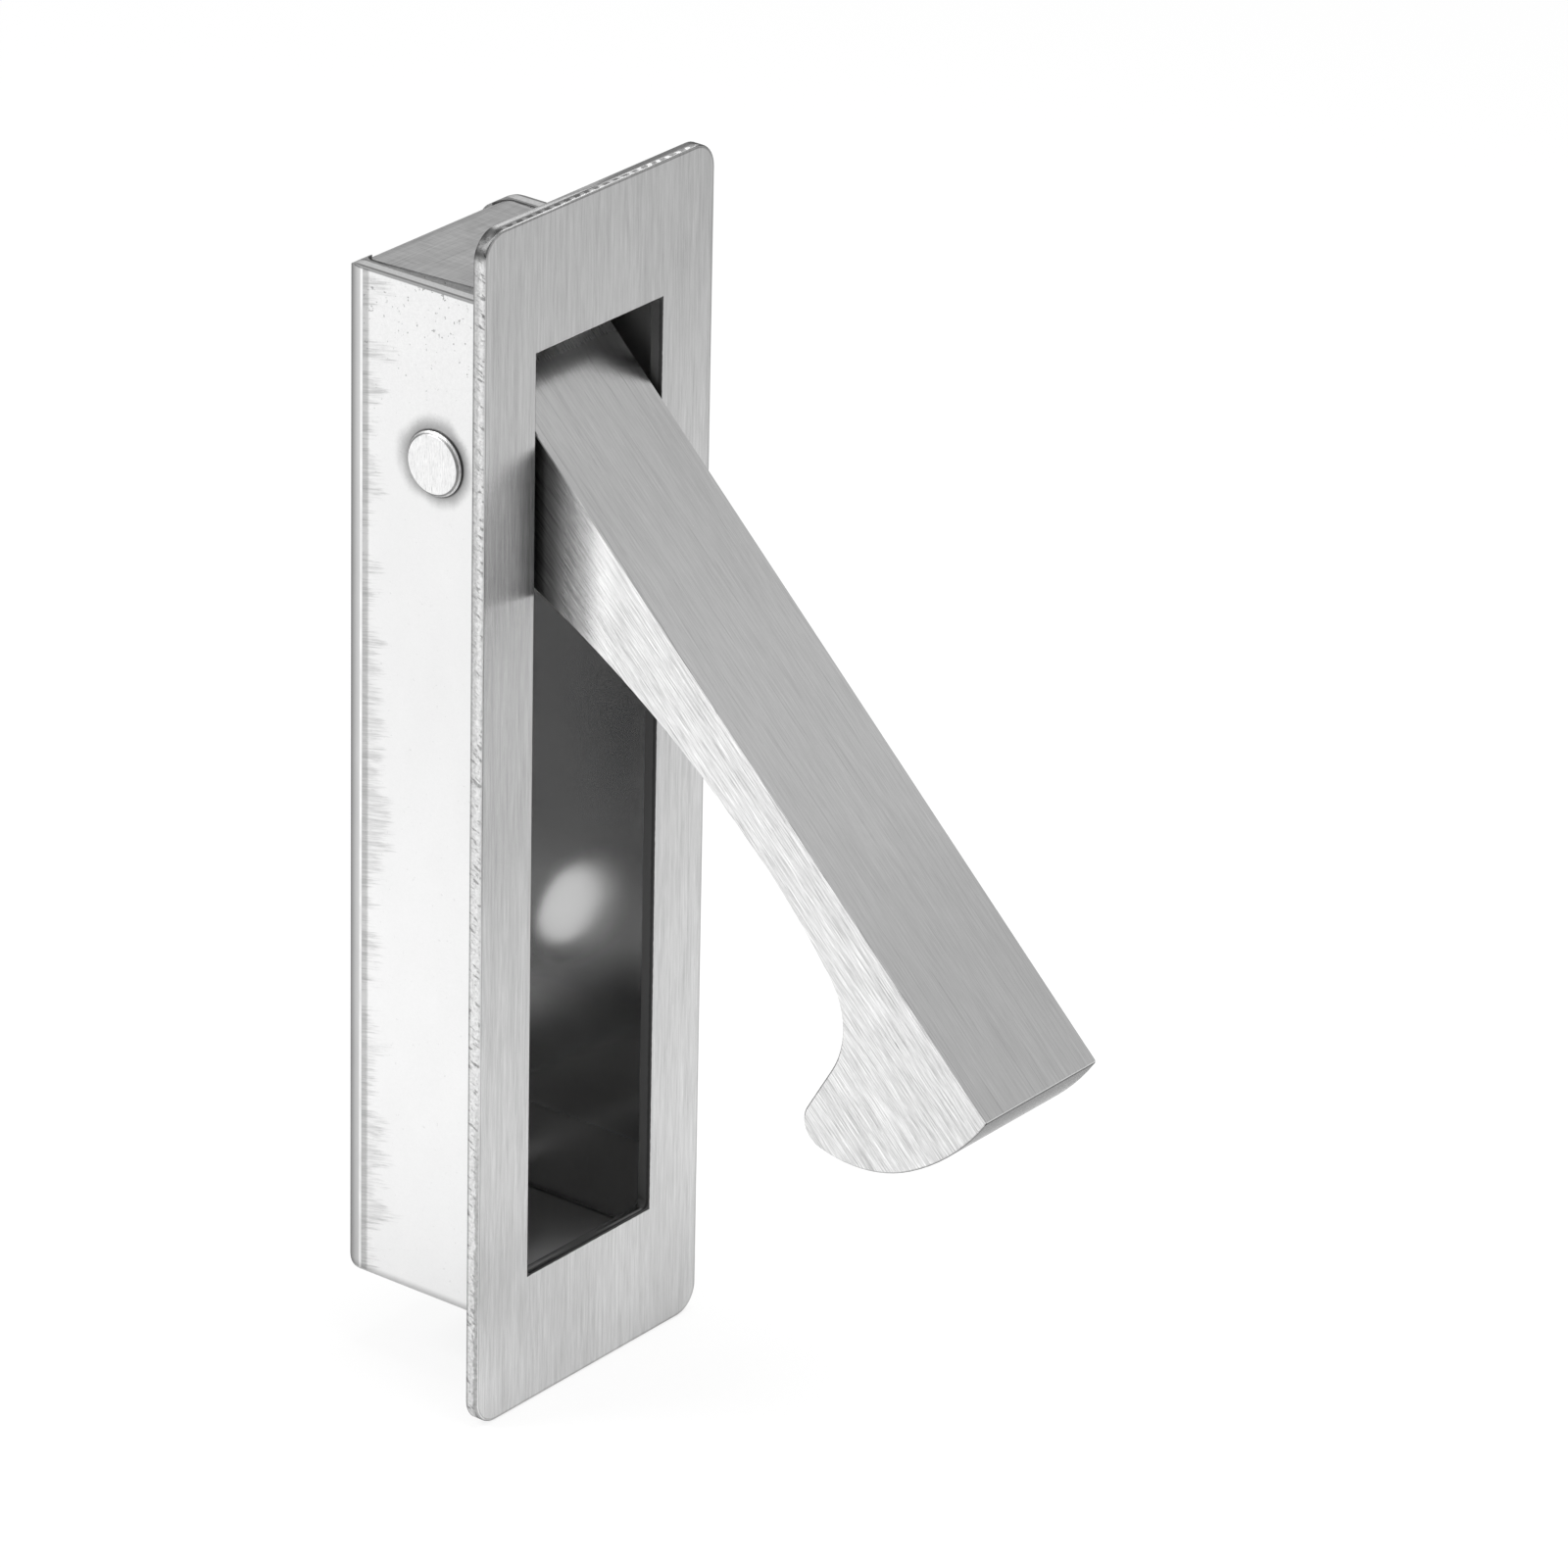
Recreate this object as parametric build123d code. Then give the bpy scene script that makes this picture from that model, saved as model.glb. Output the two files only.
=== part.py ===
from build123d import *
import os
from math import acos, cos, degrees, radians, sin

# Pocket door pull for a mortise in the door's edge, in millimetres.
# X runs across the plate, +Y goes into the door, +Z is up.
# The origin is the middle of the plate's back, the face that seats on the door.

# Face plate
plate_height = 110.0
plate_width = 30.0
plate_thickness = 1.2
plate_corner_radius = 2.5
plate_edge_break = 0.2
opening_height = 85.4
opening_width = 16.5
opening_corner_radius = 0.6
opening_edge_break = 0.15

# Folded sheet housing
sheet = 1.4
housing_width = 21.2
housing_height = 93.6
housing_depth = 18.35
bend_radius = 1.4
wall_corner_radius = 2.2
# Gaps between a tab and the side walls; the lower tab is folded in tight
upper_gap_at_bend = 0.3
upper_gap_at_plate = 1.5

# Countersunk screw holes in the housing's back
screw_pitch = 46.0
screw_hole_diameter = 7.0
countersink_diameter = 9.4
countersink_angle = 90.0

# Pivot pin, riveted over both side walls, and the spacers beside the lever
pivot_depth = 7.6
pivot_height = 31.3
pin_diameter = 4.0
pin_head_diameter = 5.8
pin_head_thickness = 0.5
pin_head_chamfer = 0.3
spacer_diameter = 8.0
spacer_bore_clearance = 0.1
side_clearance = 0.1

# Lever, drawn closed: its front face then lies just behind the plate's front
lever_width = 15.2
lever_setback = 0.2
lever_end_gap = 2.33
lever_bore_clearance = 0.05
stop_clearance = 0.15
nose_lead = 0.3  # the hook's nose reaches this much deeper than the stop end
rest_opening = 45.3
lever_edge_break = 0.15
lever_corner_radius = 0.3
boss_thickness = 4.2
waist_thickness = 5.23
back_radius = 105.0

# Finger hook at the lever's end: tangent arcs, each with the angle that it turns through
hollow_radius = 58.0
hollow_turn = 9.8
hook_radius = 7.5
hook_turn = 66.0
nose_radius = 2.3
nose_turn = 103.2
heel_radius = 12.6
heel_turn = 44.7
end_radius = 20.8
end_turn = 34.0

# Sizes that follow from the ones above
inside_half = housing_width / 2 - sheet
inside_depth = housing_depth - sheet
outer_bend = bend_radius + sheet
back_half = housing_width / 2 - outer_bend
bend_start = housing_depth - outer_bend
tab_top = housing_height / 2
front_reach = pivot_depth + plate_thickness - lever_setback
stop_reach = inside_depth - pivot_depth - stop_clearance
nose_reach = stop_reach + nose_lead
lever_end = pivot_height + opening_height / 2 - lever_end_gap
spacer_thickness = inside_half - lever_width / 2 - side_clearance
pivot = Axis((0, pivot_depth, pivot_height), (1, 0, 0))

# The lever's drawing plane: first axis down its length, second axis into the door
lever_plane = Plane(origin=pivot.position, x_dir=(0, 0, -1), z_dir=(1, 0, 0))


def face_plate():
    """Flat faceplate with round corners and one long window for the lever."""
    outline = RectangleRounded(plate_width, plate_height, plate_corner_radius)
    window = RectangleRounded(opening_width, opening_height, opening_corner_radius)
    plate = extrude(Plane.XZ * (outline - window), plate_thickness)
    front = plate.faces().sort_by(Axis.Y)[0]
    plate = fillet(front.outer_wire().edges(), plate_edge_break)
    front = plate.faces().sort_by(Axis.Y)[0]
    return fillet(front.inner_wires().edges(), opening_edge_break)


def wall_outline(half_width, depth, bend):
    """Plan of a box from the plate back, round at its two rear corners."""
    blank = Pos(0, depth / 2) * Rectangle(2 * half_width, depth)
    return fillet(blank.vertices().group_by(Axis.Y)[-1], bend)


def channel():
    """Back and side walls of the housing, with the side walls' rear corners rounded."""
    outside = wall_outline(housing_width / 2, housing_depth, outer_bend)
    inside = wall_outline(inside_half, inside_depth, bend_radius)
    walls = extrude(outside - inside, tab_top, both=True)
    side = Pos(housing_depth / 2, 0) * Rectangle(housing_depth, housing_height)
    side = fillet(side.vertices().group_by(Axis.X)[-1], wall_corner_radius)
    return walls & extrude(Plane.YZ * side, housing_width / 2, both=True)


def tab_profile():
    """Side view of a tab: a quarter bend from the back, then flat to the plate."""
    quarter = Pos(outer_bend / 2, outer_bend / 2) * Rectangle(outer_bend, outer_bend)
    bend = quarter & (Circle(outer_bend) - Circle(bend_radius))
    flat = Pos(bend_start / 2, tab_top - sheet / 2) * Rectangle(bend_start, sheet)
    return flat + Pos(bend_start, tab_top - outer_bend) * bend


def tab_plan(gap, gap_at_plate):
    """Plan of a tab between the side walls and their bends, tapered to the plate if the gaps differ."""
    between_walls = wall_outline(inside_half - gap, inside_depth - gap, bend_radius - gap)
    through_back = Pos(0, housing_depth / 2) * Rectangle(2 * (back_half - gap), housing_depth)
    wide = inside_half - gap
    narrow = inside_half - gap_at_plate
    right_edge = [(narrow, 0), (wide, bend_start), (wide, housing_depth)]
    left_edge = [(-x, y) for x, y in reversed(right_edge)]
    return (between_walls + through_back) & Polygon(*right_edge, *left_edge, align=None)


def end_tab(gap, gap_at_plate):
    """Tab folded forward from the back's upper edge, between the side walls."""
    strip = extrude(Plane.YZ * tab_profile(), housing_width / 2, both=True)
    return strip & extrude(tab_plan(gap, gap_at_plate), housing_height)


def tab_notch():
    """Room at the top of the back, where the tab's bend takes over from the flat wall."""
    notch = Box(2 * back_half, 3 * sheet, 2 * outer_bend)
    return Pos(0, housing_depth, tab_top) * notch


def screw_hole(height):
    """Countersunk hole through the back wall, sunk from the lever's side."""
    seat = Plane(origin=(0, inside_depth, height), x_dir=(1, 0, 0), z_dir=(0, -1, 0))
    hole = CounterSinkHole(
        screw_hole_diameter / 2, countersink_diameter / 2, 2 * sheet, countersink_angle
    )
    return seat * hole


def housing():
    """Box folded from one sheet, with both tabs, the pin's holes and the screw holes."""
    notch = tab_notch()
    box = channel() - notch - mirror(notch, Plane.XY)
    box = box + end_tab(upper_gap_at_bend, upper_gap_at_plate) + mirror(end_tab(0, 0), Plane.XY)
    for height in (-screw_pitch / 2, screw_pitch / 2):
        box = box - screw_hole(height)
    return box - along_pin(pin_diameter / 2, housing_width)


def along_pin(radius, length, middle=0.0):
    """Cylinder on the pivot's axis, centred at a distance along it."""
    return Plane(origin=pivot.position, z_dir=(1, 0, 0)) * Pos(0, 0, middle) * Cylinder(radius, length)


def pivot_pin():
    """Rivet through both side walls, with a flat chamfered head at each end."""
    pin = along_pin(pin_diameter / 2, housing_width)
    head = along_pin(
        pin_head_diameter / 2, pin_head_thickness, (housing_width + pin_head_thickness) / 2
    )
    rim = head.edges().filter_by(GeomType.CIRCLE).sort_by(Axis.X)[-1]
    head = chamfer(rim, pin_head_chamfer)
    return pin + head + mirror(head, Plane.YZ)


def spacer():
    """Washer that holds the lever off the right side wall."""
    middle = inside_half - spacer_thickness / 2
    bore = pin_diameter / 2 + spacer_bore_clearance
    ring = along_pin(spacer_diameter / 2, spacer_thickness, middle)
    return ring - along_pin(bore, 2 * spacer_thickness, middle)


def hook_curve(waist):
    """Rear edge from the thin waist into the finger hook, round the nose and down the end."""
    hollow = JernArc(waist, (1, 0), hollow_radius, hollow_turn)
    hook = JernArc(hollow @ 1, hollow % 1, hook_radius, hook_turn)
    heading = radians(hollow_turn + hook_turn)
    nose_rise = nose_radius * (1 - cos(heading))
    climb = (nose_reach - nose_rise - (hook @ 1).Y) / sin(heading)
    rise = Line(hook @ 1, hook @ 1 + (hook % 1) * climb)
    nose = JernArc(rise @ 1, rise % 1, nose_radius, -nose_turn)
    heel = JernArc(nose @ 1, nose % 1, heel_radius, -heel_turn)
    end = JernArc(heel @ 1, heel % 1, end_radius, -end_turn)
    return [hollow, hook, rise, nose, heel, end]


def lever_outline():
    """Side view of the closed lever from its stop end to the hooked end."""
    waist_level = waist_thickness - front_reach
    tail_reach = hook_curve((0, waist_level))[-1].bounding_box().max.X
    waist = Vector(lever_end - tail_reach, waist_level)
    back_turn = acos(1 - (boss_thickness - waist_level) / back_radius)
    back_start = (waist.X - back_radius * sin(back_turn), boss_thickness)
    corner = JernArc((-stop_reach, 0), (0, 1), boss_thickness, -90)
    boss = Line(corner @ 1, back_start)
    back = JernArc(back_start, (cos(back_turn), -sin(back_turn)), back_radius, degrees(back_turn))
    tail = hook_curve(waist)
    past_front = (tail[-1] @ 1).Y
    closing = Polyline(tail[-1] @ 1, (-stop_reach, past_front), corner @ 0)
    blank = make_face([corner, boss, back, *tail, closing])
    cut = Rectangle(2 * plate_height, plate_height, align=(Align.CENTER, Align.MAX))
    outline = blank - Pos(0, -front_reach) * cut
    return fillet(outline.vertices().group_by(Axis.Y)[0], lever_corner_radius)


def lever():
    """Solid lever with a bore for the pin and lightly broken side edges."""
    body = extrude(lever_plane * lever_outline(), lever_width / 2, both=True)
    sides = body.faces().filter_by(Axis.X)
    body = chamfer(sides.edges(), lever_edge_break)
    body = body - along_pin(pin_diameter / 2 + lever_bore_clearance, 2 * lever_width)
    return body.rotate(pivot, -rest_opening)


parts = {
    "face_plate": face_plate(),
    "housing": housing(),
    "lever": lever(),
    "pivot_pin": pivot_pin(),
    "spacer_right": spacer(),
    "spacer_left": mirror(spacer(), Plane.YZ),
}

os.makedirs("parts", exist_ok=True)
for name, solid in parts.items():
    export_step(solid, f"parts/{name}.step")
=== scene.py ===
import bpy
from math import pi, radians
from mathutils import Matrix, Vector

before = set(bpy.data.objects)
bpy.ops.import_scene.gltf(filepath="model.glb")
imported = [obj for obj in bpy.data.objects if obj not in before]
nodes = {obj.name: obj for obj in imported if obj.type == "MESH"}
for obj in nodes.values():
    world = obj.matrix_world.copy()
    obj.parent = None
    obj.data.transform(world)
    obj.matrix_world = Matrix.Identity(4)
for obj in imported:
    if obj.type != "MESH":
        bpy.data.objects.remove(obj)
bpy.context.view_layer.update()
print("frame loaded:", len(nodes), "nodes")


# One socket of a material, so that shader sums read as plain Python; lengths are metres
class Signal:
    def __init__(self, tree, socket=None):
        self.tree = tree
        self.socket = socket

    # Adds a node: its settings go in first, then the values and links of its sockets
    def node(self, kind, settings=None, inputs=None, output=0):
        made = self.tree.nodes.new(kind)
        for name, value in (settings or {}).items():
            setattr(made, name, value)
        for name, value in (inputs or {}).items():
            if isinstance(value, Signal):
                self.tree.links.new(value.socket, made.inputs[name])
            else:
                made.inputs[name].default_value = value
        return Signal(self.tree, made.outputs[output])

    def maths(self, operation, *terms):
        return self.node("ShaderNodeMath", {"operation": operation}, dict(enumerate(terms)))

    def __add__(self, other):
        return self.maths("ADD", self, other)

    def __radd__(self, other):
        return self.maths("ADD", other, self)

    def __sub__(self, other):
        return self.maths("SUBTRACT", self, other)

    def __rsub__(self, other):
        return self.maths("SUBTRACT", other, self)

    def __mul__(self, other):
        return self.maths("MULTIPLY", self, other)

    def __rmul__(self, other):
        return self.maths("MULTIPLY", other, self)

    def __abs__(self):
        return self.maths("ABSOLUTE", self)

    def atLeast(self, other):
        return self.maths("MAXIMUM", self, other)

    def atMost(self, other):
        return self.maths("MINIMUM", self, other)

    def root(self):
        return self.maths("SQRT", self)

    def sine(self):
        return self.maths("SINE", self)

    # 0 below low, 1 above high, smooth between them; swap the two for a falling edge
    def rise(self, low, high):
        ends = {"From Min": low, "From Max": high, "To Min": 0.0, "To Max": 1.0}
        settings = {"interpolation_type": "SMOOTHSTEP"}
        return self.node("ShaderNodeMapRange", settings, {"Value": self, **ends})

    # The same, with both ends given as lengths short of an edge
    def near(self, edge, start, full):
        return self.rise(edge - start, edge - full)

    # 1 in the middle, fading to 0 at either end
    def between(self, first, second):
        return self.rise(*first) * self.rise(*second)

    # Stays itself where the mask is 0, and is the other where it is 1
    def blend(self, mask, other):
        return self + mask * (other - self)

    def darken(self, mask, amount):
        return self * (1 - mask * amount)

    def lighten(self, mask, amount):
        return self * (1 + mask * amount)

    # The coordinates as seen from another middle, turned with it
    def place(self, middle=(0, 0, 0), turn=(0, 0, 0)):
        moved = {"Vector": self, "Location": middle, "Rotation": turn}
        return self.node("ShaderNodeMapping", {"vector_type": "TEXTURE"}, moved)

    # Noise about 0 whose grains have the given size along each axis
    def grain(self, size, detail=2.0, roughness=0.5, offset=0.0):
        stretch = [1 / length for length in size]
        scaled = {"Vector": self, "Location": (offset, offset, offset), "Scale": stretch}
        at = self.node("ShaderNodeMapping", {"vector_type": "POINT"}, scaled)
        noise = {"Vector": at, "Scale": 1.0, "Detail": detail, "Roughness": roughness}
        return self.node("ShaderNodeTexNoise", {"noise_dimensions": "3D"}, noise) - 0.5

    def axis(self, name):
        return self.node("ShaderNodeSeparateXYZ", {}, {"Vector": self}, output=name)

    def grey(self):
        return self.node("ShaderNodeCombineColor", {}, {"Red": self, "Green": self, "Blue": self})

    def bump(self, distance):
        return self.node("ShaderNodeBump", {}, {"Height": self, "Distance": distance})


def distance(across, along):
    return (across * across + along * along).root()


# Adds signals up, each weighed by the share that goes with its name
def weigh(shares, **signals):
    return sum(signals[name] * share for name, share in shares.items())


def newFinish(name, fixed):
    material = bpy.data.materials.new(name)
    material.use_nodes = True
    shader = material.node_tree.nodes["Principled BSDF"]
    for socket, value in fixed.items():
        shader.inputs[socket].default_value = value
    return material, shader


def objectPlaces(material):
    return Signal(material.node_tree).node("ShaderNodeTexCoord", output="Object")


def drive(shader, signals):
    for name, signal in signals.items():
        signal.tree.links.new(signal.socket, shader.inputs[name])


def finishWith(nodeName, material):
    for slot in nodes[nodeName].material_slots:
        slot.material = material


# Face plate: fine brushing up and down the front, coarse sheared edges round it
plateLook = {
    "fixed": {"Metallic": 1.0, "Anisotropic": 0.85, "Specular Tint": (0.7, 0.7, 0.7, 1)},
    "halfSize": (0.015, 0.055),
    "cornerRadius": 0.0025,
    "window": (0.00825, 0.0427),
    "bump": 0.00001,
    "roughness": 0.24,
    "rougher": {"streaks": 0.12, "rim": 0.25, "cut": 0.3, "back": 0.3},
    # the front, with a painted reflection: paler to the foot and most of all at its left, and lighter half
    # way up its right strip
    "tone": 0.52,
    "footTone": 0.7,
    "footFade": (0.01, -0.05),
    "toeTone": 0.86,
    "toeFade": (-0.038, -0.052),
    "toeSide": (0.012, 0.004),
    "rightSide": (0.003, 0.013),
    "rightMiddle": ((0.047, 0.03), (-0.06, -0.012)),
    "rightLift": 0.115,
    "rightDrop": 0.015,
    # brushing
    "hair": {"size": (0.00014, 0.00014, 0.004), "detail": 5.0, "roughness": 0.7},
    "strand": {"size": (0.00035, 0.00035, 0.008), "detail": 3.0, "roughness": 0.6, "offset": 8.0},
    "band": {"size": (0.0009, 0.0009, 0.03)},
    "cloud": {"size": (0.01, 0.01, 0.02), "detail": 1.0},
    "scratch": {"size": (0.0001, 0.0001, 0.003), "detail": 1.0, "offset": 4.0},
    "scratchCut": (0.24, 0.3),
    "streaks": {"hair": 0.9, "strand": 0.35, "band": 0.14, "cloud": 0.1, "scratch": -0.25},
    "streakTone": 0.9,
    # the rim's specks and slanted tears
    "rimTone": 0.8,
    "rimEdge": (0.00014, 0.00004),
    "speck": {"size": (0.00022, 0.0003, 0.0003), "detail": 4.0, "roughness": 0.75},
    "tear": {"size": (0.004, 0.0011, 0.00032), "roughness": 0.6, "offset": 2.0},
    "tearTurn": 28,
    "tearCut": (0.05, 0.17),
    "rimGrain": {"speck": 1.2, "tears": -0.5},
    "rimBump": {"speck": 2, "tears": -1},
    # the grey strips along the rim: the front one low down, the back one high up
    "wander": {"size": (0.003, 0.0006, 0.0007), "detail": 3.0, "offset": 5.0},
    "rimGrey": 0.5,
    "greySpeck": 1.4,
    "stripWander": 0.0008,
    "frontStrip": (-0.0007, -0.0009),
    "frontStripLow": (-0.02, -0.035),
    "backStrip": (-0.0007, -0.0005),
    "backStripHigh": (-0.01, 0.02),
    "backStripShare": 0.6,
    "backLine": (-0.0002, -0.0001),
    "backLineSpeck": 0.00008,
    "backLineShade": 0.4,
    # the top edge with its row of shear marks, and painted shade at both corners
    "topTone": 0.36,
    "topSpeck": 0.6,
    "topEdge": (0.0544, 0.0549),
    "turnSide": (0.0123, 0.0132),
    "turnTop": (0.0526, 0.0534),
    "turnShade": 0.75,
    "toothPitch": 0.00125,
    "toothWander": 5,
    "markLine": 0.0009,
    "markWander": 0.0003,
    "markFade": (0.00022, 0.0001),
    "chipSpeck": 1.5,
    "chipCut": (-0.1, 0.5),
    "chipLevel": 0.4,
    "chipTone": 0.34,
    "rimRange": (0.05, 0.95),
    # the dark line where the front turns into the rim
    "lipPlace": 0.00022,
    "lipSpeck": 0.0001,
    "lipFade": (0.00008, 0.00003),
    "lipShade": 0.28,
    "lipTopShade": 0.15,
    # the dull back
    "backTone": 0.3,
    "backEdge": (-0.00004, -0.00001),
    # the window's sheared edge with a burr at the front, both painted dark as shade, the burr darkest
    "windowShadeTone": 0.15,
    "burrShadeTone": 0.08,
    "ragged": {"size": (0.0004, 0.0004, 0.0005), "detail": 3.0, "roughness": 0.7},
    "cutRagged": 0.00012,
    "cutFade": (0.00015, 0.00006),
    "burrRagged": 0.0002,
    "burrFade": (0.00082, 0.00096),
}


def plateMetal():
    look = plateLook
    material, shader = newFinish("plateMetal", look["fixed"])
    where = objectPlaces(material)
    x, y, z = where.axis("X"), where.axis("Y"), where.axis("Z")
    radius = look["cornerRadius"]
    overX = (abs(x) - (look["halfSize"][0] - radius)).atLeast(0)
    overZ = (abs(z) - (look["halfSize"][1] - radius)).atLeast(0)
    fromRim = radius - distance(overX, overZ)
    fromWindow = (abs(x) - look["window"][0]).atLeast(abs(z) - look["window"][1])

    hair = where.grain(**look["hair"])
    strand = where.grain(**look["strand"])
    band = where.grain(**look["band"])
    cloud = where.grain(**look["cloud"])
    scratch = where.grain(**look["scratch"]).rise(*look["scratchCut"])
    streaks = weigh(look["streaks"], hair=hair, strand=strand, band=band, cloud=cloud, scratch=scratch)
    # painted reflection: the front paler to the foot, most of all at its left, and lighter half way up its
    # right strip
    foot = z.rise(*look["footFade"])
    toe = z.rise(*look["toeFade"]) * x.rise(*look["toeSide"])
    tone = look["tone"] + foot * (look["footTone"] - look["tone"])
    tone = tone + toe * (look["toeTone"] - look["footTone"])
    rightMiddle = z.between(*look["rightMiddle"])
    tone = tone.lighten(x.rise(*look["rightSide"]), rightMiddle * look["rightLift"] - look["rightDrop"])
    tone = tone.lighten(streaks, look["streakTone"])

    # the outer rim: granular, torn on a slant, greyer in wandering strips
    speck = where.grain(**look["speck"])
    wander = where.grain(**look["wander"])
    slanted = where.place(turn=(radians(look["tearTurn"]), 0, 0))
    tears = slanted.grain(**look["tear"]).rise(*look["tearCut"])
    rim = fromRim.rise(*look["rimEdge"])
    rimTone = look["rimTone"] * (1 + weigh(look["rimGrain"], speck=speck, tears=tears))
    wavy = y + wander * look["stripWander"]
    frontStrip = wavy.rise(*look["frontStrip"]) * z.rise(*look["frontStripLow"])
    backStrip = wavy.rise(*look["backStrip"]) * z.rise(*look["backStripHigh"])
    strips = (frontStrip + backStrip * look["backStripShare"]).atMost(1)
    rimTone = rimTone.blend(strips, look["rimGrey"] * (1 + speck * look["greySpeck"]))
    backLine = (y + speck * look["backLineSpeck"]).rise(*look["backLine"])
    rimTone = rimTone.darken(backLine, look["backLineShade"])

    # the top edge: darker, with one row of shear marks that stops short of the corners, which are darkened
    # with painted shade
    onTop = z.rise(*look["topEdge"])
    rimTone = rimTone.blend(onTop, look["topTone"] * (1 + speck * look["topSpeck"]))
    # painted shade on the rim round the two top corners
    turn = abs(x).rise(*look["turnSide"]) * z.rise(*look["turnTop"])
    fromMarks = abs(y + look["markLine"] + wander * look["markWander"])
    marks = onTop * (1 - turn) * fromMarks.rise(*look["markFade"])
    tooth = (x * (2 * pi / look["toothPitch"]) + wander * look["toothWander"]).sine()
    chips = (tooth + speck * look["chipSpeck"]).rise(*look["chipCut"]) - look["chipLevel"]
    rimTone = (rimTone + marks * chips * look["chipTone"]).darken(turn, look["turnShade"])
    darkest, palest = look["rimRange"]
    tone = tone.blend(rim, rimTone.atMost(palest).atLeast(darkest))
    lip = abs(fromRim - look["lipPlace"] + speck * look["lipSpeck"]).rise(*look["lipFade"])
    tone = tone.darken(lip, look["lipShade"] + onTop * look["lipTopShade"])

    back = y.rise(*look["backEdge"])
    tone = tone.blend(back, look["backTone"])
    # painted shade on the window's sheared edge, darkest at the burr along its front
    ragged = where.grain(**look["ragged"])
    cut = (fromWindow + ragged * look["cutRagged"]).rise(*look["cutFade"])
    tone = tone.blend(cut, look["windowShadeTone"])
    burr = cut * (0 - y + ragged * look["burrRagged"]).rise(*look["burrFade"])
    tone = tone.blend(burr, look["burrShadeTone"])

    rougher = weigh(look["rougher"], streaks=streaks, rim=rim, cut=cut, back=back)
    height = streaks + rim * weigh(look["rimBump"], speck=speck, tears=tears)
    roughness = look["roughness"] + rougher
    drive(shader, {"Base Color": tone.grey(), "Roughness": roughness, "Normal": height.bump(look["bump"])})
    return material


finishWith("face_plate", plateMetal())
print("face plate finished")


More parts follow.
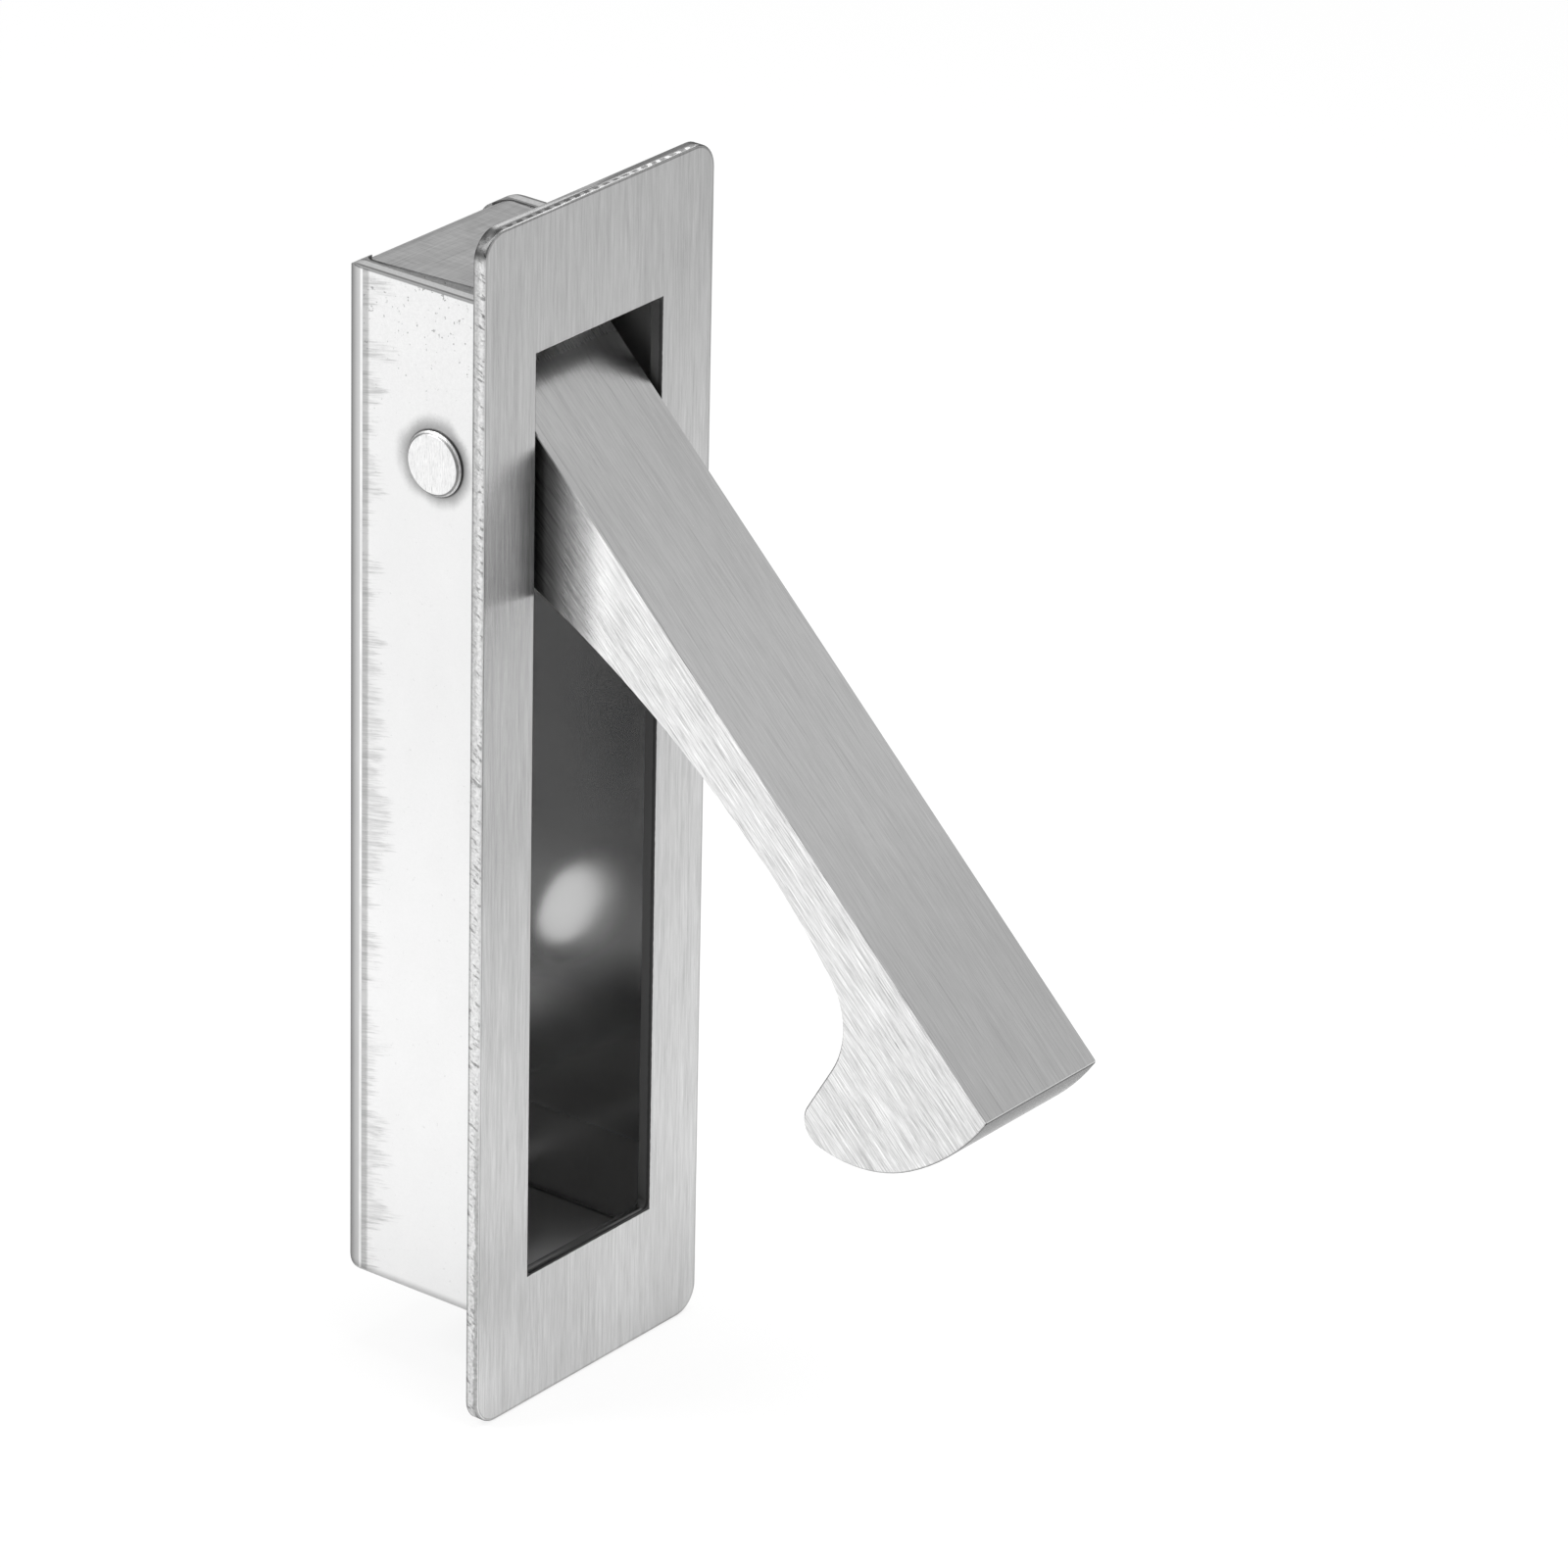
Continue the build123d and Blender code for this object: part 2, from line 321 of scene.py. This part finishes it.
# Housing: pale mill finish outside, worn beside the bend, smooth inside and darker there with painted shade
housingLook = {
    "fixed": {"Metallic": 1.0, "Specular Tint": (0.45, 0.45, 0.45, 1)},
    "half": (0.0106, 0.0468),
    "depth": 0.01835,
    "sheet": 0.0014,
    "bendStart": 0.01555,
    "pivot": (0.0076, 0.0313),
    "screwPlace": 0.023,
    "bump": 0.00001,
    "roughness": 0.5,
    "roughSpeck": 0.1,
    "topRoughness": 0.36,
    "insideRoughness": 0.15,
    # the rolled outside: fine specks, faint clouds, and pits near the top
    "tone": 0.82,
    "speck": {"size": (0.00025, 0.00025, 0.00025), "detail": 4.0, "roughness": 0.8},
    "cloud": {"size": (0.004, 0.004, 0.007), "detail": 3.0},
    "pit": {"size": (0.0004, 0.0004, 0.0004), "offset": 7.0},
    "pitCut": (0.2, 0.26),
    "pitsMore": (0.034, 0.046),
    "pitsMoreBy": 0.05,
    "upper": (0.028, 0.044),
    "speckTone": 0.1,
    "speckUpper": 0.2,
    "cloudTone": 0.05,
    "pitTone": 0.1,
    "pitUpper": 0.35,
    "lower": (0.015, -0.03),
    "lowerLift": 0.09,
    # ragged strokes that run forward from the bend, and a grey strip beside it
    "stroke": {"size": (0.004, 0.004, 0.00022), "detail": 4.0, "roughness": 0.7},
    "strokeTurn": -12,
    "wave": {"size": (0.004, 0.01, 0.0035), "detail": 3.0, "roughness": 0.6, "offset": 3.0},
    "wornReach": {"strokes": 0.006, "waves": 0.011, "upper": -0.001},
    "worn": (0.0132, 0.0154),
    "wornShade": 0.15,
    "wornStroke": 0.9,
    "beside": (0.0148, 0.0151),
    "besideSpeck": 0.0004,
    "besideShade": 0.32,
    # the bend: a painted highlight in a bright line where it starts, then painted shade, darker towards the
    # flat back
    "bendTone": 0.6,
    "bendFade": 0.0003,
    "bendShade": 0.65,
    "bendCloud": 0.15,
    "backTone": 0.55,
    "backEdge": (0.0004, 0.00002),
    "backGrain": {"speck": 0.2, "cloud": 0.2},
    "glintTone": 0.86,
    "glintWaves": 0.4,
    "glintPlace": 0.0002,
    "glintFade": (0.0002, 0.00008),
    # the soft dark ring that the riveting left, and a painted contact shadow in a line round the pin head
    "ring": (0.0044, 0.0027),
    "ringCloud": 0.0022,
    "ringSpeck": 0.0004,
    "ringShade": 0.62,
    "ringMottle": 0.8,
    "headShadowLine": (0.00312, 0.00295),
    "headShade": 0.6,
    # tabs and the side walls' ends, with painted shade on the tabs, at the top corners and along the bottom
    # edge
    "topTone": 0.62,
    "topEdge": (0.0002, 0.00005),
    "rolled": {"size": (0.006, 0.0002, 0.0004), "detail": 4.0, "roughness": 0.7},
    "smear": {"size": (0.0004, 0.004, 0.0004), "detail": 3.0, "roughness": 0.7, "offset": 2.0},
    "topGrain": {"rolled": 0.8, "smear": 0.6, "cloud": 0.3},
    "wallEndTone": 0.86,
    "wallEndSpeck": 0.5,
    "wallEndEdge": (0.00004, 0),
    "lineSpeck": 0.0001,
    "innerLine": 0.0001,
    "innerFade": (0.00025, 0.00012),
    "innerShade": 0.5,
    "sideEdge": (0.0004, 0.0002),
    "cornerSpeck": 0.00015,
    "cornerEdge": (0.00032, 0.00018),
    "cornerShade": 0.6,
    "duskSpeck": 0.0002,
    "duskEdge": (0.0008, 0),
    "duskShade": 0.4,
    # the inside: painted shade, with bands of painted light and shade by height, the pale countersinks, and
    # the slight lean of the side walls
    "insideShadeTone": 0.43,
    "insideEdge": (-0.00005, 0.00001),
    "shine": ((-0.01, -0.015), (-0.023, -0.018)),
    "belly": ((-0.023, -0.029), (-0.037, -0.03)),
    "deep": (-0.033, -0.04),
    "tab": (-0.04528, -0.04536),
    "attic": (0.027, 0.035),
    "zoneLightAndShade": {"shine": 0.13, "belly": 0.7, "deep": 0.2, "tab": -0.5, "attic": -0.2},
    "zoneRoughness": {"attic": 0.35, "deep": 0.16},
    "sinkTone": 0.9,
    "sinkRim": (0.00475, 0.00465),
    "sinkFront": (0.00002, -0.00004),
    "sinkBack": (0.00004, 0.0001),
    "lean": 0.062,
    "leanEdge": (0.0004, 0.0001),
}


def housingMetal():
    look = housingLook
    material, shader = newFinish("housingMetal", look["fixed"])
    where = objectPlaces(material)
    x, y, z = where.axis("X"), where.axis("Y"), where.axis("Z")
    halfX, halfZ = look["half"]
    depth, sheet = look["depth"], look["sheet"]
    bendStart = look["bendStart"]

    speck = where.grain(**look["speck"])
    cloud = where.grain(**look["cloud"])
    upper = z.rise(*look["upper"])
    pits = where.grain(**look["pit"]) + z.rise(*look["pitsMore"]) * look["pitsMoreBy"]
    pits = pits.rise(*look["pitCut"])
    specks = speck * (look["speckTone"] + upper * look["speckUpper"])
    holes = pits * (look["pitTone"] + upper * look["pitUpper"])
    tone = look["tone"] * (1 + specks + cloud * look["cloudTone"] - holes)
    tone = tone.lighten(z.rise(*look["lower"]), look["lowerLift"])

    slanted = where.place(turn=(radians(look["strokeTurn"]), 0, 0))
    strokes = slanted.grain(**look["stroke"])
    waves = where.grain(**look["wave"])
    worn = (y + weigh(look["wornReach"], strokes=strokes, waves=waves, upper=upper)).rise(*look["worn"])
    tone = tone.darken(worn, (look["wornShade"] + strokes * look["wornStroke"]).atLeast(0))
    beside = (y + speck * look["besideSpeck"]).rise(*look["beside"])
    tone = tone.darken(beside, look["besideShade"])

    # painted shade on the bend, darker towards the flat back
    bendFull = bendStart + look["bendFade"]
    backStart = depth - look["backEdge"][0]
    bendTone = look["bendTone"] * (1 - y.rise(bendFull, backStart) * look["bendShade"])
    tone = tone.blend(y.rise(bendStart, bendFull), bendTone.lighten(cloud, look["bendCloud"]))
    backTone = look["backTone"] * (1 + weigh(look["backGrain"], speck=speck, cloud=cloud))
    tone = tone.blend(y.near(depth, *look["backEdge"]), backTone)
    # painted highlight in a bright line where the bend starts
    glint = abs(y - bendStart - look["glintPlace"]).rise(*look["glintFade"])
    tone = tone.blend(glint, look["glintTone"] + waves * look["glintWaves"])

    fromPin = distance(y - look["pivot"][0], z - look["pivot"][1])
    ring = (fromPin + cloud * look["ringCloud"] + speck * look["ringSpeck"]).rise(*look["ring"])
    tone = tone.darken(ring, look["ringShade"] + cloud * look["ringMottle"])
    # painted contact shadow in a line round the pin head
    tone = tone.darken(fromPin.rise(*look["headShadowLine"]), look["headShade"])

    # tabs grey with painted shade, streaked across; side walls' ends paler; a dark line where the tabs meet
    # the wall ends, and painted shade at the top corners and along the bottom edge
    top = abs(z).near(halfZ, *look["topEdge"])
    wallEnd = abs(x).near(halfX - sheet, *look["wallEndEdge"])
    rolled = where.grain(**look["rolled"])
    smear = where.grain(**look["smear"])
    # painted shade: the tabs a darker grey than the walls
    topTone = look["topTone"] * (1 + weigh(look["topGrain"], rolled=rolled, smear=smear, cloud=cloud))
    topTone = topTone.blend(wallEnd, look["wallEndTone"] * (1 + speck * look["wallEndSpeck"]))
    tone = tone.blend(top, topTone)
    raggedX = abs(x) + speck * look["lineSpeck"]
    innerEnd = abs(raggedX - (halfX - sheet + look["innerLine"])).rise(*look["innerFade"]) * top
    tone = tone.darken(innerEnd, look["innerShade"])
    # painted shade at the top corners of the side walls
    nearSide = raggedX.near(halfX, *look["sideEdge"])
    nearEnd = (z + speck * look["cornerSpeck"]).near(halfZ, *look["cornerEdge"])
    tone = tone.darken(nearSide * nearEnd, look["cornerShade"])
    # painted shade along the bottom edge
    dusk = (0 - z + speck * look["duskSpeck"]).near(halfZ, *look["duskEdge"])
    tone = tone.darken(dusk, look["duskShade"])

    # the inside walls, darkened with painted shade and banded by height with painted light and shade, and
    # the countersinks in the back
    inside = abs(x).near(halfX - sheet, *look["insideEdge"])
    inside = inside * y.near(depth - sheet, *look["insideEdge"])
    inside = inside * abs(z).near(halfZ - sheet, *look["insideEdge"])
    shine = z.between(*look["shine"])
    belly = z.between(*look["belly"])
    deep = z.rise(*look["deep"])
    tab = z.rise(*look["tab"])
    attic = z.rise(*look["attic"])
    zones = weigh(look["zoneLightAndShade"], shine=shine, belly=belly, deep=deep, tab=tab, attic=attic)
    tone = tone.blend(inside, look["insideShadeTone"] * (1 + zones))
    sink = distance(x, abs(z) - look["screwPlace"]).rise(*look["sinkRim"])
    sink = sink * y.near(depth - sheet, *look["sinkFront"]) * y.near(depth, *look["sinkBack"])
    tone = tone.blend(sink, look["sinkTone"])

    outside = 1 - inside
    roughness = look["roughness"] + speck * look["roughSpeck"] * outside
    roughness = roughness + top * (look["topRoughness"] - look["roughness"])
    insideRoughness = look["insideRoughness"] + weigh(look["zoneRoughness"], attic=attic, deep=deep)
    roughness = roughness.blend(inside, insideRoughness)
    height = (speck + top * rolled) * outside * look["bump"]
    lean = inside * abs(x).near(halfX - sheet, *look["leanEdge"])  # the walls belly a little
    height = height - lean * y * look["lean"]
    drive(shader, {"Base Color": tone.grey(), "Roughness": roughness, "Normal": height.bump(1.0)})
    return material


finishWith("housing", housingMetal())
print("housing finished")


# Lever: brushed along its length, measured from its pivot and turned with it
leverLook = {
    "fixed": {"Metallic": 1.0, "Specular Tint": (0.7, 0.7, 0.7, 1)},
    "pivot": (0, 0.0076, 0.0313),
    "open": 45.3,
    "halfWidth": 0.0076,
    "reach": 0.0717,
    "front": 0.0086,
    "tone": 0.67,
    "palest": 0.95,
    "roughness": 0.16,
    "roughShades": 0.1,
    "bump": 0.00001,
    # brushing
    "hair": {"size": (0.00008, 0.00008, 0.0035), "detail": 4.0, "roughness": 0.75},
    "strand": {"size": (0.00015, 0.00015, 0.01), "detail": 3.0, "roughness": 0.65, "offset": 8.0},
    "line": {"size": (0.00016, 0.00016, 0.016), "detail": 1.0, "offset": 11.0},
    "lineCut": (0.12, 0.24),
    "band": {"size": (0.0008, 0.0008, 0.03)},
    "cloud": {"size": (0.006, 0.006, 0.01)},
    "scratch": {"size": (0.00013, 0.00013, 0.003), "detail": 1.0, "offset": 4.0},
    "scratchCut": (0.2, 0.3),
    "streaks": {"hair": 0.7, "band": 0.06, "cloud": 0.08, "scratch": -0.15, "line": -0.12},
    # the sides: coarser, with pale and dark nicks
    "sideEdge": (0.00012, 0.00004),
    "nick": {"size": (0.00014, 0.00014, 0.0012), "roughness": 0.6, "offset": 9.0},
    "nickCut": (0.2, 0.28),
    "sideStreaks": {"hair": 2.2, "strand": 0.9, "nicks": -0.4},
    # the end face: darker, partly for its cut finish and partly as painted shade, and ground across, with a
    # dark line under the front's edge
    "endTone": 0.22,
    "endEdge": (0.0024, 0.0006),
    "endFront": (0, -0.0004),
    "ground": {"size": (0.005, 0.00025, 0.00025), "detail": 3.0, "roughness": 0.7, "offset": 6.0},
    "groundTone": 0.9,
    "seamPlace": 0.00025,
    "seamFade": (0.00018, 0.00008),
    "seamEdge": (0.0009, 0.0006),
    "seamShade": 0.85,
    # the side has painted shade in the window's mouth, where it is also dull, and a painted highlight just
    # outside it
    "mouth": (0.0053, 0.0022),
    "mouthHeight": (-0.03, -0.022),
    "mouthShade": 0.78,
    "mouthRoughness": 0.25,
    "glow": ((0.0043, 0.0058), (0.0098, 0.007)),
    "glowLift": 0.42,
    # the front is a little paler half way down, and duller above the pivot
    "frontMiddle": ((-0.01, -0.028), (-0.058, -0.04)),
    "frontLift": 0.08,
    "bossHeight": (-0.001, 0.003),
    "bossRoughness": 0.12,
}


def leverMetal():
    look = leverLook
    material, shader = newFinish("leverMetal", look["fixed"])
    where = objectPlaces(material)
    along = where.place(look["pivot"], (radians(-look["open"]), 0, 0))
    x, y, z = along.axis("X"), along.axis("Y"), along.axis("Z")
    down = 0 - z
    side = abs(x).near(look["halfWidth"], *look["sideEdge"])
    end = down.near(look["reach"], *look["endEdge"]) * (1 - side)
    end = end * y.near(-look["front"], *look["endFront"])

    hair = along.grain(**look["hair"])
    strand = along.grain(**look["strand"])
    line = along.grain(**look["line"]).rise(*look["lineCut"])
    band = along.grain(**look["band"])
    cloud = along.grain(**look["cloud"])
    scratch = along.grain(**look["scratch"]).rise(*look["scratchCut"])
    streaks = weigh(look["streaks"], hair=hair, band=band, cloud=cloud, scratch=scratch, line=line)
    nick = along.grain(**look["nick"])
    nicks = nick.rise(*look["nickCut"]) - (0 - nick).rise(*look["nickCut"])
    sideStreaks = weigh(look["sideStreaks"], hair=hair, strand=strand, nicks=nicks)
    ground = along.grain(**look["ground"])
    shades = streaks + side * sideStreaks + end * ground * look["groundTone"]

    # painted shade on the side in the window's mouth, and a painted highlight just outside it
    out = 0 - where.axis("Y")
    mouth = side * out.rise(*look["mouth"]) * z.rise(*look["mouthHeight"])
    glow = side * out.between(*look["glow"])
    # the end face darker, partly for its cut finish and partly as painted shade
    tone = look["tone"] + end * (look["endTone"] - look["tone"])
    tone = tone.darken(mouth, look["mouthShade"]).lighten(glow, look["glowLift"])
    tone = tone.lighten(z.between(*look["frontMiddle"]) * (1 - side), look["frontLift"])
    seam = abs(y + look["front"] - look["seamPlace"]).rise(*look["seamFade"])
    seam = seam * down.near(look["reach"], *look["seamEdge"]) * (1 - side)
    tone = (tone * (1 + shades)).darken(seam, look["seamShade"]).atMost(look["palest"])

    roughness = look["roughness"] + shades * look["roughShades"] + mouth * look["mouthRoughness"]
    roughness = roughness + z.rise(*look["bossHeight"]) * look["bossRoughness"]
    drive(shader, {"Base Color": tone.grey(), "Roughness": roughness, "Normal": streaks.bump(look["bump"])})
    return material


finishWith("lever", leverMetal())
print("lever finished")


# Rivet pin: bright, scratched flat heads, with a painted contact shadow at the foot and a line of painted
# shade round the rim's chamfer
pinLook = {
    "fixed": {"Metallic": 1.0, "Specular Tint": (0.5, 0.5, 0.5, 1)},
    "half": 0.0106,
    "tone": 0.8,
    "palest": 0.95,
    "roughness": 0.4,
    "roughScratch": 0.2,
    "bump": 0.00002,
    "scratch": {"size": (0.0003, 0.0001, 0.0008), "detail": 4.0, "roughness": 0.75},
    "dent": {"size": (0.0006, 0.0006, 0.0006)},
    "mark": {"size": (0.0002, 0.00008, 0.0007), "detail": 1.0, "offset": 6.0},
    "markCut": (0.16, 0.24),
    "headGrain": {"scratch": 0.9, "dents": 0.2, "mark": -0.3},
    "foot": (0.00018, 0.0001),
    "footShade": 0.65,
    "chamferLinePlace": 0.0004,
    "chamferLineFade": (0.0001, 0.00004),
    "chamferShade": 0.55,
}


def pinMetal():
    look = pinLook
    material, shader = newFinish("pinMetal", look["fixed"])
    where = objectPlaces(material)
    scratch = where.grain(**look["scratch"])
    dents = where.grain(**look["dent"])
    mark = where.grain(**look["mark"]).rise(*look["markCut"])
    headGrain = weigh(look["headGrain"], scratch=scratch, dents=dents, mark=mark)
    tone = (look["tone"] * (1 + headGrain)).atMost(look["palest"])
    outward = abs(where.axis("X")) - look["half"]
    # painted contact shadow at the head's foot, and a line of painted shade round the rim's chamfer
    tone = tone.darken(outward.rise(*look["foot"]), look["footShade"])
    tone = tone.darken(abs(outward - look["chamferLinePlace"]).rise(*look["chamferLineFade"]), look["chamferShade"])
    roughness = look["roughness"] + scratch * look["roughScratch"]
    height = scratch + dents
    drive(shader, {"Base Color": tone.grey(), "Roughness": roughness, "Normal": height.bump(look["bump"])})
    return material


finishWith("pivot_pin", pinMetal())


# Spacers: plain moulded washers
spacerLook = {
    "fixed": {"Roughness": 0.55, "Specular IOR Level": 0.4},
    "tone": 0.62,
    "mottle": {"size": (0.0006, 0.0006, 0.0006)},
    "mottleTone": 0.1,
    "bump": 0.00001,
}


def spacerPlastic():
    look = spacerLook
    material, shader = newFinish("spacerPlastic", look["fixed"])
    mottle = objectPlaces(material).grain(**look["mottle"])
    tone = look["tone"] * (1 + mottle * look["mottleTone"])
    drive(shader, {"Base Color": tone.grey(), "Normal": mottle.bump(look["bump"])})
    return material


spacerFinish = spacerPlastic()
finishWith("spacer_left", spacerFinish)
finishWith("spacer_right", spacerFinish)
print("pin and spacers finished")


# Stage: pale floor that the camera sees nearly white, soft boxes and the camera
stageLook = {
    "floorHeight": -0.0551,
    "floorSize": 12,
    "floorTone": 0.75,
    "paperWhite": 1.06,
    "paperShare": 0.8,  # how much of the floor the camera sees as plain white
    "paper": {"Roughness": 0.9, "Specular IOR Level": 0.1},
    "roomLight": 0.62,
    "cardTone": 0.34,
    "cardPlace": (-0.125, -0.1),
    "cardSize": (0.09, 0.07),
    "cardLift": 0.001,
    "overhead": {"place": (0.05, -0.09, 0.35), "aim": (0.05, -0.08, -0.05), "size": 0.28, "watts": 1.2},
    "poolLeft": {"place": (-0.34, 0.3, 0.36), "aim": (-0.34, 0.28, -0.05), "size": 0.25, "watts": 2.4},
    "cameraPlace": (-0.58742, -0.47537, 0.34910),
    "cameraTurn": (65.252, -1.1148, -51.7929),
    "lens": 225.48,
    "sensorWidth": 36,
}


def newPaper(name, tone):
    return newFinish(name, {"Base Color": (tone, tone, tone, 1), **stageLook["paper"]})[0]


def buildFloor():
    bpy.ops.object.select_all(action="DESELECT")
    place = (0, 0, stageLook["floorHeight"])
    bpy.ops.mesh.primitive_plane_add(size=stageLook["floorSize"], location=place)
    floor = bpy.context.active_object
    floor.name = "floor"
    material = newPaper("floorPaper", stageLook["floorTone"])
    tree = material.node_tree
    paint = Signal(tree, tree.nodes["Principled BSDF"].outputs[0])
    seen = paint.node("ShaderNodeLightPath", output="Is Camera Ray")
    white = paint.node("ShaderNodeEmission", {}, {"Strength": stageLook["paperWhite"]})
    shares = {0: seen * stageLook["paperShare"], 1: paint, 2: white}
    mixed = paint.node("ShaderNodeMixShader", {}, shares)
    tree.links.new(mixed.socket, tree.nodes["Material Output"].inputs["Surface"])
    floor.data.materials.append(material)


# A dark card on the floor, out of the picture, that only the polished faces mirror
def addCard():
    bpy.ops.object.select_all(action="DESELECT")
    place = (*stageLook["cardPlace"], stageLook["floorHeight"] + stageLook["cardLift"])
    bpy.ops.mesh.primitive_plane_add(size=1, location=place)
    card = bpy.context.active_object
    card.name = "card"
    card.scale = (*stageLook["cardSize"], 1)
    card.visible_camera = False
    card.visible_diffuse = False
    card.visible_shadow = False
    card.data.materials.append(newPaper("cardPaper", stageLook["cardTone"]))


def addSoftBox(name):
    box = stageLook[name]
    place = Vector(box["place"])
    light = bpy.data.lights.new(name, "AREA")
    light.shape = "RECTANGLE"
    light.size = box["size"]
    light.size_y = box["size"]
    light.energy = box["watts"]
    lamp = bpy.data.objects.new(name, light)
    lamp.location = place
    lamp.rotation_euler = (Vector(box["aim"]) - place).to_track_quat("-Z", "Y").to_euler()
    bpy.context.collection.objects.link(lamp)


buildFloor()
addCard()
addSoftBox("overhead")
addSoftBox("poolLeft")

world = bpy.data.worlds.new("room")
bpy.context.scene.world = world
world.use_nodes = True
room = world.node_tree.nodes["Background"]
room.inputs["Color"].default_value = (1, 1, 1, 1)
room.inputs["Strength"].default_value = stageLook["roomLight"]

cameraData = bpy.data.cameras.new("camera")
cameraData.lens = stageLook["lens"]
cameraData.sensor_width = stageLook["sensorWidth"]
camera = bpy.data.objects.new("camera", cameraData)
camera.location = stageLook["cameraPlace"]
camera.rotation_euler = [radians(angle) for angle in stageLook["cameraTurn"]]
bpy.context.collection.objects.link(camera)
bpy.context.scene.camera = camera
bpy.context.scene.view_settings.view_transform = "Standard"
print("stage built")
